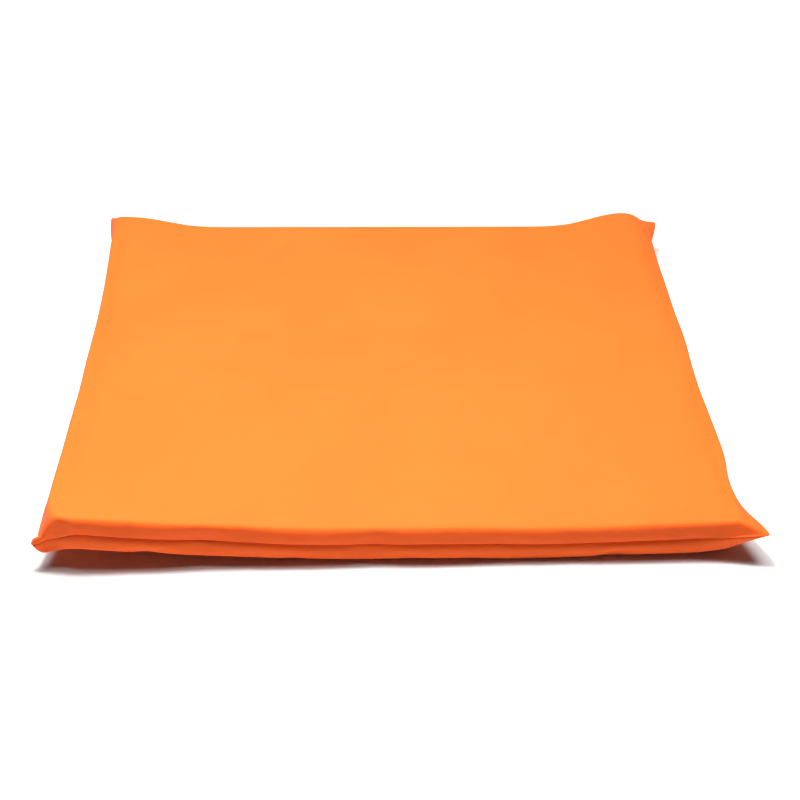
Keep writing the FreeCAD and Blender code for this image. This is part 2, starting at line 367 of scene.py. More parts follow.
@dataclass(frozen=True)
class ZipTapeWeave:
    """Herringbone-woven polyester tape: close ribs in slanting stripes that turn every few millimetres."""

    name: str = "herringbone_tape_orange"
    base: str = "D4520F"
    light: str = "EC661A"
    rib_mm: float = 0.6
    stripe_mm: float = 2.4

    def make(self) -> Material:
        """Build the material from ribs whose slant turns over with each stripe of the tape's height; each rib
        is painted darker in its groove and lighter on its crest, as painted shade and highlight.

        Returns:
            The material.
        """
        material, tree = blank_material(self.name)
        where = node(tree, "TexCoord")
        parts = node(tree, "SeparateXYZ", {0: where.outputs["Object"]})
        fold = node(tree, "Math", {0: parts.outputs["Z"], 1: self.stripe_mm * MM}, operation="PINGPONG")
        slant = node(tree, "Math", {0: parts.outputs["X"], 1: fold.outputs[0]}, operation="ADD")
        phase = node(tree, "Math", {0: slant.outputs[0], 1: math.tau / (self.rib_mm * MM)},
                     operation="MULTIPLY")
        wave = node(tree, "Math", {0: phase.outputs[0]}, operation="SINE")
        rib = node(tree, "MapRange", {"Value": wave.outputs[0], "From Min": -1.0})
        # Painted shade and highlight: the base colour fills each rib's groove and the light colour its crest.
        colour = two_tone(tree, rib.outputs["Result"], self.base, self.light)
        bump = node(tree, "Bump", {"Height": rib.outputs["Result"], "Strength": 0.7, "Distance": 0.1 * MM})
        shader = node(tree, "BsdfPrincipled", {"Base Color": colour, "Roughness": 0.75, "Sheen Weight": 0.15,
                                               "Normal": bump.outputs["Normal"]})
        finish_material(tree, shader)
        return material


@dataclass(frozen=True)
class NylonFilament:
    """Extruded nylon filament: smooth, slightly clear and glossy."""

    name: str = "nylon_filament_orange"
    base: str = "DE5A12"
    light: str = "EE6E20"
    tone_mm: float = 6.0

    def make(self) -> Material:
        """Build the material, with a faint change of tone along the coil.

        Returns:
            The material.
        """
        material, tree = blank_material(self.name)
        where = node(tree, "TexCoord")
        tone = node(tree, "TexNoise", {"Vector": where.outputs["Object"], "Scale": 1000.0 / self.tone_mm,
                                       "Detail": 2.0})
        colour = two_tone(tree, tone.outputs["Fac"], self.base, self.light)
        rough = node(tree, "MapRange", {"Value": tone.outputs["Fac"], "To Min": 0.26, "To Max": 0.4})
        shader = node(tree, "BsdfPrincipled", {"Base Color": colour, "Roughness": rough.outputs["Result"],
                                               "IOR": 1.53, "Coat Weight": 0.15})
        finish_material(tree, shader)
        return material


@dataclass(frozen=True)
class NickelPlate:
    """Nickel plate on die-cast zinc: bright metal with a fine tumbled haze."""

    name: str = "nickel_plated_zinc"
    base: str = "BDB9B0"
    light: str = "D8D5CC"
    haze_mm: float = 0.8

    def make(self) -> Material:
        """Build the material; tumbling leaves a soft, uneven polish and rounded pits.

        Returns:
            The material.
        """
        material, tree = blank_material(self.name)
        where = node(tree, "TexCoord")
        haze = node(tree, "TexNoise", {"Vector": where.outputs["Object"], "Scale": 1000.0 / self.haze_mm,
                                       "Detail": 4.0, "Roughness": 0.6})
        colour = two_tone(tree, haze.outputs["Fac"], self.base, self.light)
        rough = node(tree, "MapRange", {"Value": haze.outputs["Fac"], "To Min": 0.16, "To Max": 0.34})
        bump = node(tree, "Bump", {"Height": haze.outputs["Fac"], "Strength": 0.15, "Distance": 0.03 * MM})
        shader = node(tree, "BsdfPrincipled", {
            "Base Color": colour, "Metallic": 1.0, "Roughness": rough.outputs["Result"],
            "Normal": bump.outputs["Normal"]})
        finish_material(tree, shader)
        return material


# ---------------------------------------------------------------- the pad's form

class Half(Enum):
    """The cover's two panels, with the sign of their height from the seam."""

    TOP = 1
    BOTTOM = -1


@dataclass(frozen=True)
class Profile:
    """A smooth curve through a few pairs of place and value."""

    points: Points

    def at(self, place: float) -> float:
        """Value of the curve at a place, level past its ends.

        Args:
            place: Where to look it up.

        Returns:
            The value there.
        """
        last = len(self.points) - 1
        if place <= self.points[0][0]:
            return self.points[0][1]
        if place >= self.points[last][0]:
            return self.points[last][1]
        index = max(i for i in range(last) if self.points[i][0] <= place)
        (x0, y0), (x1, y1) = self.points[index], self.points[index + 1]
        run = x1 - x0
        share = (place - x0) / run
        leave, arrive = self.slope(index) * run, self.slope(index + 1) * run
        bend = 2 * (y0 - y1) + leave + arrive
        return y0 + share * (leave + share * (3 * (y1 - y0) - 2 * leave - arrive + share * bend))

    def slope(self, index: int) -> float:
        """Slope at a point, taken over its two neighbours.

        Args:
            index: Which point.

        Returns:
            The slope.
        """
        before = self.points[max(0, index - 1)]
        after = self.points[min(len(self.points) - 1, index + 1)]
        return (after[1] - before[1]) / (after[0] - before[0])


@dataclass(frozen=True)
class Ear:
    """One loose corner point of the cover, in millimetres.

    Attributes:
        tip: Place of the tip from the foam's corner at seam height, outwards along X and Y and up.
        side_run: How far back along the side the cloth starts to leave the foam.
        end_run: The same along the front or back edge.
        side_shape: 1 for a straight run to the tip, more for a hollow one.
        end_shape: The same along the front or back edge.
        thinness: How quickly the ear thins from the top face to the seam, and from the underside to it.
        knob: Centre of a curled ear's rounded end, from the foam's corner, outwards along X and Y and up.
        knob_size: Its half widths, or nothing where the ear is flat.
        fold: Depth of the crease between the wall and a curled ear.
    """

    tip: Triple
    side_run: float
    end_run: float
    side_shape: float
    end_shape: float
    thinness: tuple[float, float]
    knob: Triple = (0.0, 0.0, 0.0)
    knob_size: Triple | None = None
    fold: float = 0.0


@dataclass
class PadForm:
    """Outer shape of the covered pad: a place in millimetres for each point of a block from -1 to 1 each way.

    Attributes:
        half_x: Half the foam's length.
        half_y: Half its depth.
        seam_z: Height of the seam, halfway up the wall.
        lip_edge: Height of a zip lip's edge from the seam's height.
        lip_out: How far back the zip lips stand.
        opening: Half the length of the zip opening.
        zip_bulge: How far the back wall stands off the foam over and under the zip.
        groove: Depth of the groove along the seam.
        late_underside: How much further from the middle the underside of the back edge starts to lift.
        lift_shape: 1 where the curl rises evenly from the middle line to the edge, more where it starts late.
        opening_ease: How far inside and past its ends the zip opening closes.
        side_share: Share of a side wall's bulge that the broad faces beside it have.
        wall_share: Share that the wall adds to it.
        rim_side: How deep the broad faces sink at the side rims, and how far in.
        rim_end: The same at the front and back rims.
        wave: Height of the faint waves in the broad faces.
        fold_spot: Place and width of a curled ear's crease, from 0 where the ear starts to 1 at its tip.
        front_lift: Height of the front edge's curl along X.
        back_lift: Height of the back edge's curl along X.
        left_out: How far the left wall stands off the foam along Y.
        right_out: How far the right wall stands off the foam along Y.
        ears: The four corners, by the signs of X and Y.
    """

    half_x: float
    half_y: float
    seam_z: float
    lip_edge: float
    lip_out: float
    opening: float
    zip_bulge: float = 3.0
    groove: float = 1.0
    late_underside: float = 10.0
    lift_shape: float = 1.8
    opening_ease: tuple[float, float] = (3.0, 2.0)
    side_share: float = 0.66
    wall_share: float = 0.3
    rim_side: tuple[float, float] = (3.0, 11.0)
    rim_end: tuple[float, float] = (1.0, 4.0)
    wave: float = 0.25
    fold_spot: tuple[float, float] = (0.7, 0.16)
    front_lift: Profile = Profile((
        (-232.5, 19.0), (-216, 17.0), (-203, 15.4), (-177, 12.3), (-150, 9.4), (-112, 6.6), (-83, 4.2),
        (-55, 2.6), (-28, 2.2), (0, 2.0), (27, 2.2), (55, 1.4), (83, 0.2), (111, 0.0),
        (140, 0.6), (167, 1.6), (195, 2.6), (214, 3.6), (232.5, 6.0)))
    back_lift: Profile = Profile((
        (-232.5, 13.5), (-216, 11.8), (-199, 8.6), (-185, 5.4), (-176, 3.2), (-166, 1.4), (-155, 0.4),
        (-140, 0.0), (0, 0.0), (135, 0.0), (150, 0.5), (160, 1.6), (170, 3.6), (182, 7.4),
        (197, 12.2), (209, 14.8), (218, 15.4), (225, 14.2), (232.5, 10.0)))
    left_out: Profile = Profile((
        (-182, 12.5), (-150, 13.0), (-128, 13.0), (-103, 12.8), (-78, 12.6), (-52, 12.0), (-25, 11.2),
        (4, 10.8), (34, 9.4), (65, 8.0), (97, 7.5), (131, 7.8), (165, 8.0), (182, 7.0)))
    right_out: Profile = Profile((
        (-182, 9.0), (-160, 9.5), (-136, 11.0), (-112, 14.6), (-86, 14.6), (-59, 13.8), (-31, 12.8),
        (-2, 13.5), (28, 14.8), (60, 13.2), (93, 12.2), (128, 10.6), (165, 10.6), (182, 9.0)))
    ears: dict[tuple[int, int], Ear] = field(default_factory=lambda: {
        (-1, -1): Ear((20.0, 2.0, -14.0), 28.0, 13.0, 1.9, 1.4, (0.9, 0.4),
                      knob=(14.5, 1.5, -12.0), knob_size=(6.5, 6.0, 9.0), fold=4.0),
        (1, -1): Ear((26.5, 7.5, 6.0), 40.0, 25.0, 1.1, 1.4, (1.0, 1.4)),
        (-1, 1): Ear((12.0, 15.0, 4.5), 24.0, 28.0, 1.6, 2.0, (1.2, 2.0)),
        (1, 1): Ear((19.0, 9.0, 6.0), 22.0, 22.0, 1.5, 1.5, (1.8, 2.0)),
    })

    def lift(self, u: float, v: float, w: float = 0.0) -> float:
        """Height that the curl adds at a place on the pad, nothing along its middle line.

        Args:
            u: Place along X from -1 to 1.
            v: Place along Y from -1 to 1.
            w: Place from the underside, -1, to the top, 1.

        Returns:
            Lift in millimetres; at the back the underside stays down a little further along than the top.
        """
        if v < 0.0:
            return self.front_lift.at(u * self.half_x) * abs(v) ** self.lift_shape
        later = self.late_underside * max(0.0, -w) * v
        start = math.copysign(max(0.0, abs(u) * self.half_x - later), u)
        return self.back_lift.at(start) * v ** self.lift_shape

    def in_opening(self, u: float, v: float) -> float:
        """How fully a place is beside the zip opening in the back wall.

        Args:
            u: Place along X from -1 to 1.
            v: Place along Y from -1 to 1.

        Returns:
            1 at the opening, easing to 0 past its ends and in front of it.
        """
        if v < 0.97:
            return 0.0
        inside, past = self.opening_ease
        return 1.0 - smoothstep(self.opening - inside, self.opening + past, abs(u) * self.half_x)

    def place(self, u: float, v: float, w: float) -> Vector:
        """Place of a surface point of the closed cover.

        Args:
            u: Place along X from -1 to 1.
            v: Place along Y from -1 to 1.
            w: Place from the underside, -1, over the seam, 0, to the top, 1.

        Returns:
            The point in millimetres.
        """
        x, y = u * self.half_x, v * self.half_y
        z = self.seam_z + w * self.seam_z
        side = abs(u) > ON_WALL
        end = abs(v) > ON_WALL
        zipped = self.in_opening(u, v)
        slack = (self.right_out if u > 0 else self.left_out).at(y)
        x += math.copysign(self.side_share * slack * abs(u) ** 7 * (1.0 - abs(v) ** 20), u)
        if abs(w) > ON_WALL:
            (side_depth, side_run), (end_depth, end_run) = self.rim_side, self.rim_end
            ease = side_depth * math.exp(-self.half_x * (1.0 - abs(u)) / side_run) * (1.0 - 0.6 * abs(v) ** 8)
            ease += end_depth * math.exp(-self.half_y * (1.0 - abs(v)) / end_run) * (1.0 - zipped)
            z -= math.copysign(ease, w)
            waves = self.wave * math.sin(x / 47.0 + 0.8) * math.cos(y / 39.0 - 0.4)
            z += waves * (1.0 - u * u) * (1.0 - v * v)
        if side or end:
            move = self.wall_move(u, v, w, side, slack, zipped)
            x, y, z = x + move.x, y + move.y, z + move.z
        return Vector((x, y, max(z + self.lift(u, v, w), 0.0)))

    def wall_move(self, u: float, v: float, w: float, side: bool, slack: float, zipped: float) -> Vector:
        """How far a wall point stands off the foam's own face.

        Args:
            u: Place along X.
            v: Place along Y.
            w: Place across the wall.
            side: True on the left and right walls, False on the front and back ones.
            slack: How far the side's seam stands out.
            zipped: 1 beside the zip opening.

        Returns:
            The move in millimetres.
        """
        ear = self.ears[(1 if u > 0 else -1, 1 if v > 0 else -1)]
        off_end = self.half_y * (1.0 - abs(v))
        off_side = self.half_x * (1.0 - abs(u))
        off_centre = self.half_x - off_side
        near = max(0.0, 1.0 - (off_end / ear.side_run if side else off_side / ear.end_run))
        run = near ** (ear.side_shape if side else ear.end_shape)
        cross = near ** ((ear.side_shape if side else ear.end_shape) + 0.6)
        thin = (1.0 - abs(w)) ** ear.thinness[0 if w > 0.0 else 1]
        dip = self.seam_dip(u, v, w) * (1.0 - near) * (1.0 - zipped)
        outward_x, outward_y = math.copysign(1.0, u), math.copysign(1.0, v)
        if side:
            share = self.wall_share + self.side_share * abs(v) ** 20
            round_out = slack * share * (1.0 - abs(w) ** 2.2) * (1.0 - run)
            out_x = round_out + ear.tip[0] * run * thin - dip
            out_y = ear.tip[1] * cross * thin
        else:
            plain = self.end_profile(u * self.half_x, w) * (1.0 - run)
            backed = 1.0 - smoothstep(self.opening + 6.0, self.opening + 30.0, off_centre) if v > 0.0 else 0.0
            round_out = plain * (1.0 - backed) + backed * self.zip_bulge * (1.0 - abs(w) ** 6.0)
            out_y = round_out + ear.tip[1] * run * thin - dip
            out_x = ear.tip[0] * cross * thin
        fold_at, fold_width = self.fold_spot
        crease = ear.fold * math.exp(-((near - fold_at) / fold_width) ** 2) * (1.0 - w * w)
        out_x -= crease if side else 0.0
        out_y -= 0.0 if side else crease
        move = Vector((out_x, out_y, ear.tip[2] * cross * thin))
        if ear.knob_size is not None:
            place = Vector((-off_side, -off_end, w * self.seam_z)) + move
            move += self.curl(ear, place, smoothstep(0.42, 0.72, near * (1.0 - abs(w)) ** 0.35)) - place
        return Vector((outward_x * move.x, outward_y * move.y, move.z))

    @staticmethod
    def curl(ear: Ear, place: Vector, share: float) -> Vector:
        """Draw a point of a curled ear on to its rounded end.

        Args:
            ear: The ear.
            place: The point, from the foam's corner at seam height and outwards.
            share: How much of the way it goes.

        Returns:
            The moved point.
        """
        away = place - Vector(ear.knob)
        reach = math.sqrt(sum((part / size) ** 2 for part, size in zip(away, ear.knob_size)))
        return place.lerp(Vector(ear.knob) + away / max(reach, 0.2), share)

    def end_profile(self, x: float, w: float) -> float:
        """Stand-off of the front and back walls: the upper band is upright, the lower one a fuller roll.

        Args:
            x: Place along X in millimetres.
            w: Place across the wall.

        Returns:
            Distance from the foam's face in millimetres.
        """
        wander = 0.3 * math.sin(x / 38.0 + 1.1) + 0.2 * math.sin(x / 17.0)
        roll = 1.3 * math.sin(math.pi * abs(w) ** 0.8) if w < 0.0 else 0.9 * smoothstep(0.05, 0.75, w)
        return (0.8 + wander) * (1.0 - abs(w) ** 6) + roll * (1.0 - abs(w) ** 8)

    def seam_dip(self, u: float, v: float, w: float) -> float:
        """Depth of the groove along the seam, with the two rolled lips beside it.

        Args:
            u: Place along X.
            v: Place along Y.
            w: Place across the wall.

        Returns:
            Depth in millimetres, below zero on the lips.
        """
        gape = 0.7 + 0.3 * math.sin(5.0 * u + 3.0 * v + 1.0) + 0.25 * math.sin(13.0 * u - 9.0 * v)
        cut = math.exp(-(w / 0.05) ** 2)
        lips = 0.3 * math.exp(-((abs(w) - 0.13) / 0.07) ** 2)
        return self.groove * gape * (cut - lips)


# ---------------------------------------------------------------- cover

# A light woven cover that the foam presses out from inside; the negative shrink lets it grow by 1.2 percent.
DRAPE_SETTINGS = {
    "quality": 5, "mass": 0.12, "tension_stiffness": 12.0, "compression_stiffness": 12.0,
    "shear_stiffness": 4.0, "bending_stiffness": 0.4, "shrink_min": -0.012, "use_pressure": True,
    "uniform_pressure_force": 4.0}
DRAPE_FRAMES = 20
SEAM_ROW = 0.1  # wall rows nearer the seam than this move least
RIM_ROW = 0.8  # and wall rows further from it than this are the rim


@dataclass
class Cover:
    """The sewn cover: one closed form that is draped by simulation, then parted into its two panels."""

    form: PadForm
    cloth: Material
    cells_x: int = 88
    cells_y: int = 70
    levels: tuple[float, ...] = (0.0, 0.05, 0.13, 0.26, 0.43, 0.62, 0.82, 1.0)
    cloth_mm: float = 0.6
    fold_mm: float = 1.35
    allowance_mm: float = 4.0
    hem_mm: float = 5.5
    seam_gap_mm: float = 0.06
    drape_cap_mm: float = 2.2
    smooth_mm: float = 9.0
    layers: list[Layer] = field(default_factory=list)

    def block(self) -> Form:
        """Block of even cells whose vertices hold their own place from -1 to 1 in three layers.

        Returns:
            The bmesh, already in the pad's form.
        """
        bm = bmesh.new()
        bmesh.ops.create_cube(bm, size=2.0)
        cuts = (self.cells_x - 1, self.cells_y - 1, 2 * (len(self.levels) - 1) - 1)
        for axis, count in enumerate(cuts):
            along = [e for e in bm.edges if abs((e.verts[0].co - e.verts[1].co)[axis]) > 1.9]
            bmesh.ops.subdivide_edges(bm, edges=along, cuts=count, use_grid_fill=True)
        for name in "uvw":
            bm.verts.layers.float.new(name)
        self.layers = [bm.verts.layers.float[name] for name in "uvw"]
        for vert in bm.verts:
            u = self.bunch(vert.co.x)
            v = self.bunch(vert.co.y)
            step = round(abs(vert.co.z) * (len(self.levels) - 1))
            w = math.copysign(self.levels[step], vert.co.z)
            for layer, value in zip(self.layers, (u, v, w)):
                vert[layer] = value
            vert.co = self.form.place(u, v, w) * MM
        u_layer, v_layer, w_layer = self.layers
        rim = [v for v in bm.verts if abs(v[w_layer]) > RIM_ROW
               and self.rim_distance(v[u_layer], v[v_layer]) < self.smooth_mm]
        bmesh.ops.smooth_vert(bm, verts=rim, factor=0.4, use_axis_x=True, use_axis_y=True, use_axis_z=True)
        return bm

    @staticmethod
    def bunch(value: float) -> float:
        """Draw even places towards the edges, so that the pad's rim has the smaller cells."""
        return value * (1.0 + 0.25 * (1.0 - value * value))

    def rim_distance(self, u: float, v: float) -> float:
        """Distance in millimetres from a place to the nearest edge of the foam."""
        return min(self.form.half_x * (1.0 - abs(u)), self.form.half_y * (1.0 - abs(v)))

    def drape(self, bm: Form) -> None:
        """Let the cloth fill and settle under pressure from the foam, as far as the cap allows.

        Args:
            bm: The cover's closed form, which is moved.
        """
        mesh = bpy.data.meshes.new("drape")
        bm.to_mesh(mesh)
        trial = bpy.data.objects.new("drape", mesh)
        scene = bpy.context.scene
        scene.collection.objects.link(trial)
        pinned = trial.vertex_groups.new(name="pinned")
        bm.verts.ensure_lookup_table()
        for vert in bm.verts:
            if self.freedom(vert) < 0.05:
                pinned.add([vert.index], 1.0, "REPLACE")
        cloth = trial.modifiers.new("Cloth", "CLOTH")
        for name, value in DRAPE_SETTINGS.items():
            setattr(cloth.settings, name, value)
        cloth.settings.vertex_group_mass = pinned.name
        cloth.settings.effector_weights.gravity = 0.0
        cloth.point_cache.frame_start = 1
        cloth.point_cache.frame_end = DRAPE_FRAMES
        for number in range(1, DRAPE_FRAMES + 1):
            scene.frame_set(number)
        settled = trial.evaluated_get(bpy.context.evaluated_depsgraph_get())
        cap = self.drape_cap_mm * MM
        for vert in bm.verts:
            move = settled.data.vertices[vert.index].co - vert.co
            if move.length > cap:
                move *= cap / move.length
            vert.co += move * self.freedom(vert)
            vert.co.z = max(vert.co.z, 0.0)
        scene.frame_set(1)
        bpy.data.objects.remove(trial)
        bpy.data.meshes.remove(mesh)

    def freedom(self, vert: Vert) -> float:
        """How freely the cloth moves: on the walls and rim, not on the foam's faces or at the zip.

        Args:
            vert: Vertex of the form.

        Returns:
            Share of the simulated move that is kept, from 0 to 1.
        """
        u, v, w = (vert[layer] for layer in self.layers)
        past_zip = smoothstep(self.form.opening + 6.0, self.form.opening + 26.0, abs(u) * self.form.half_x)
        near_zip = smoothstep(0.8, 0.95, v) * (1.0 - past_zip)
        inner = smoothstep(3.0, 34.0, self.rim_distance(u, v)) if abs(w) > 0.99 else 0.0
        held = 0.25 if abs(w) < SEAM_ROW else 0.45 if abs(w) > RIM_ROW else 0.9
        side = 0.5 if abs(u) > ON_WALL else 1.0
        return (1.0 - inner) * (1.0 - near_zip) * held * side

    def flatten(self, bm: Form) -> None:
        """Give each panel the flat coordinates of its cut cloth, in metres, for the weave.

        Args:
            bm: The cover's closed form.
        """
        flat = bm.loops.layers.uv.new(CLOTH_UV)
        u_layer, v_layer, w_layer = self.layers
        for face in bm.faces:
            on_side = all(abs(vert[u_layer]) > ON_WALL for vert in face.verts)
            on_end = all(abs(vert[v_layer]) > ON_WALL for vert in face.verts)
            for loop in face.loops:
                vert = loop.vert
                down = (1.0 - abs(vert[w_layer])) * self.form.seam_z
                u, v = vert[u_layer], vert[v_layer]
                x = u * self.form.half_x + (math.copysign(down, u) if on_side else 0.0)
                y = v * self.form.half_y + (math.copysign(down, v) if on_end else 0.0)
                loop[flat].uv = (x * MM, y * MM)

    def panel(self, source: bpy.types.Mesh, half: Half) -> Piece:
        """One panel: its half of the form, its zip lip, its folded seam edge and its thickness.

        Args:
            source: The whole draped cover.
            half: Which panel.

        Returns:
            The finished panel.
        """
        bm = bmesh.new()
        bm.from_mesh(source)
        u_layer, v_layer, w_layer = (bm.verts.layers.float[name] for name in "uvw")
        sign = half.value
        others = [f for f in bm.faces if sum(v[w_layer] for v in f.verts) * sign < 0.0]
        bmesh.ops.delete(bm, geom=others, context="FACES")
        for vert in bm.verts:
            self.open_lip(vert, sign, vert[u_layer], vert[v_layer], vert[w_layer])
        edge = [e for e in bm.edges if e.is_boundary]
        self.fold_edge(bm, edge, sign, u_layer, v_layer)
        bmesh.ops.recalc_face_normals(bm, faces=bm.faces[:])
        self.point_outwards(bm, sign)
        made = make_object(f"cover_{half.name.lower()}_cloth", bm, self.cloth)
        wall = made.modifiers.new("Cloth thickness", "SOLIDIFY")
        wall.thickness = self.cloth_mm * MM
        wall.offset = -1.0
        wall.use_rim = True
        smooth = made.modifiers.new("Soft surface", "SUBSURF")
        smooth.levels = 1
        smooth.render_levels = 1
        return made

    def open_lip(self, vert: Vert, sign: int, u: float, v: float, w: float) -> None:
        """Part the back wall at the zip, and lay its folded double edge flat.

        Args:
            vert: Vertex of the panel, which is moved.
            sign: 1 on the top panel and -1 on the underside.
            u: Place along X.
            v: Place along Y.
            w: Place across the wall.
        """
        share = self.form.in_opening(u, v)
        if share == 0.0 or abs(w) > 0.999:
            return
        height = self.form.lip_edge + abs(w) * (self.form.seam_z - self.form.lip_edge)
        step = self.form.lip_out - (self.form.half_y + self.form.zip_bulge)
        out = self.form.half_y + self.form.zip_bulge + step * (1.0 - smoothstep(0.45, 0.6, abs(w)))
        out -= (self.form.zip_bulge + 0.2) * smoothstep(0.62, 1.0, abs(w)) ** 2
        target = Vector((vert.co.x, out * MM, (self.form.seam_z + sign * height) * MM))
        vert.co = vert.co.lerp(target, share)

    def fold_edge(self, bm: Form, edge: list[Edge], sign: int,
                  u_layer: Layer, v_layer: Layer) -> None:
        """Turn the panel's cut edge in: behind the lip at the zip, and straight in at the seam.

        Args:
            bm: The panel.
            edge: Its boundary edges.
            sign: 1 on the top panel and -1 on the underside.
            u_layer: Layer of places along X.
            v_layer: Layer of places along Y.
        """
        for first in (True, False):
            grown = bmesh.ops.extrude_edge_only(bm, edges=edge)["geom"]
            edge = [e for e in grown if isinstance(e, Edge) and e.is_boundary]
            for vert in (v for v in grown if isinstance(v, Vert)):
                u, v = vert[u_layer], vert[v_layer]
                share = self.form.in_opening(u, v)
                outward = Vector([math.copysign(abs(place) > ON_WALL, place) for place in (u, v)] + [0.0])
                plain = -outward.normalized() * (self.fold_mm if first else self.allowance_mm)
                lipped = Vector((0.0, -self.fold_mm if first else 0.0, 0.0 if first else sign * self.hem_mm))
                vert.co += plain.lerp(lipped, share) * MM
                vert.co.z += sign * self.seam_gap_mm * MM

    def point_outwards(self, bm: Form, sign: int) -> None:
        """Turn the panel's faces so that, taken together, they look away from the foam."""
        if sum(face.normal.z * face.calc_area() for face in bm.faces) * sign < 0.0:
            bmesh.ops.reverse_faces(bm, faces=bm.faces[:])

    def build(self) -> tuple[list[Piece], list[Vector]]:
        """Make both panels.

        Returns:
            The panels, and the seam's line as points in metres.
        """
        bm = self.block()
        self.drape(bm)
        self.flatten(bm)
        seam = self.seam_line(bm)
        whole = bpy.data.meshes.new("whole")
        bm.to_mesh(whole)
        bm.free()
        panels = [self.panel(whole, half) for half in Half]
        bpy.data.meshes.remove(whole)
        return panels, seam

    def seam_line(self, bm: Form) -> list[Vector]:
        """Points round the seam from one end of the zip opening to the other.

        Args:
            bm: The cover's closed form.

        Returns:
            The points in metres.
        """
        u_layer, v_layer, w_layer = self.layers
        ring = [v for v in bm.verts if abs(v[w_layer]) < 0.001]
        ring = [v for v in ring if self.form.in_opening(v[u_layer], v[v_layer]) < 0.5]
        ring.sort(key=lambda v: math.atan2(v[u_layer], -v[v_layer]))
        return [v.co.copy() for v in ring]


# ---------------------------------------------------------------- foam

@dataclass
class FoamCore:
    """The foam slab, which follows the curl of the pad inside its cover."""

    form: PadForm
    foam: Material
    gap_mm: float = 2.6
    worn_side_mm: float = 5.5
    worn_side_run_mm: float = 12.0
    worn_end_mm: float = 3.0
    worn_end_run_mm: float = 7.0
    ease_mm: float = 1.2
    cells: tuple[int, int, int] = (46, 36, 6)

    def build(self) -> Piece:
        """Make the slab as a subdivided block with worn corners and eased edges.

        Returns:
            The finished slab.
        """
        bm = bmesh.new()
        bmesh.ops.create_cube(bm, size=2.0)
        for axis, count in enumerate(self.cells):
            along = [e for e in bm.edges if abs((e.verts[0].co - e.verts[1].co)[axis]) > 1.9]
            bmesh.ops.subdivide_edges(bm, edges=along, cuts=count - 1, use_grid_fill=True)
        for vert in bm.verts:
            u, v, w = vert.co
            x = u * (self.form.half_x - self.gap_mm)
            y = v * (self.form.half_y - self.gap_mm)
            worn = self.worn_side_mm * math.exp(-self.form.half_x * (1.0 - abs(u)) / self.worn_side_run_mm)
            worn += self.worn_end_mm * math.exp(-self.form.half_y * (1.0 - abs(v)) / self.worn_end_run_mm)
            z = self.form.seam_z + w * (self.form.seam_z - self.gap_mm - worn) + self.form.lift(u, v, w)
            vert.co = Vector((x, y, z)) * MM
        made = make_object("foam_core", bm, self.foam)
        ease = made.modifiers.new("Eased edges", "BEVEL")
        ease.width = self.ease_mm * MM
        ease.segments = 2
        ease.limit_method = "ANGLE"
        return made


# ---------------------------------------------------------------- stitches

def stitch_shape(length: float, width: float, depth: float) -> Form:
    """One short stitch of thread along X, rounded and sunk in at its ends.

    Args:
        length: Along the seam, in metres.
        width: Across the seam.
        depth: Out of the cloth.

    Returns:
        A small closed bmesh round the origin.
    """
    bm = bmesh.new()
    bmesh.ops.create_uvsphere(bm, u_segments=6, v_segments=6, radius=1.0)
    bmesh.ops.rotate(bm, verts=bm.verts[:], matrix=Matrix.Rotation(math.radians(90), 3, "Y"))
    blunt, taper, fullness, sink = 0.7, 3.0, 0.4, 0.35
    for vert in bm.verts:
        along = math.copysign(abs(vert.co.x) ** blunt, vert.co.x)
        full = (1.0 - abs(along) ** taper) ** fullness / max(1e-6, math.hypot(vert.co.y, vert.co.z))
        full = full if abs(vert.co.x) < 0.999 else 0.0
        vert.co = Vector((along * length / 2, vert.co.y * full * depth / 2, vert.co.z * full * width / 2))
        vert.co.y -= depth * sink * abs(along) ** 2
    return bm


@dataclass
class EdgeSeam:
    """Lock stitches that lie in the groove between the two panels."""

    line: Sequence[Vector]
    thread: Material
    pitch_mm: float = 3.0
    length_mm: float = 2.5
    width_mm: float = 0.5
    depth_mm: float = 0.4
    inset_mm: float = 0.35

    def build(self) -> Piece:
        """Lay one stitch every few millimetres along the seam's line."""
        template = stitch_shape(self.length_mm * MM, self.width_mm * MM, self.depth_mm * MM)
        return make_object("edge_seam_stitches", repeat(template, self.places()), self.thread)

    def places(self) -> Iterable[Matrix]:
        """Work out where the stitches lie.

        Returns:
            A transform that carries a stitch to each place along the line.
        """
        travelled = 0.0
        due = self.pitch_mm * MM
        for start, end in zip(self.line, self.line[1:]):
            run = (end - start).length
            while travelled + run >= due and run > 0.0:
                point = start.lerp(end, (due - travelled) / run)
                along = (end - start).normalized()
                out = along.cross(Vector((0, 0, 1))).normalized()
                up = along.cross(out)
                turn = Matrix((along, out, up)).transposed().to_4x4()
                yield Matrix.Translation(point - out * self.inset_mm * MM) @ turn
                due += self.pitch_mm * MM
            travelled += run


# ---------------------------------------------------------------- zip

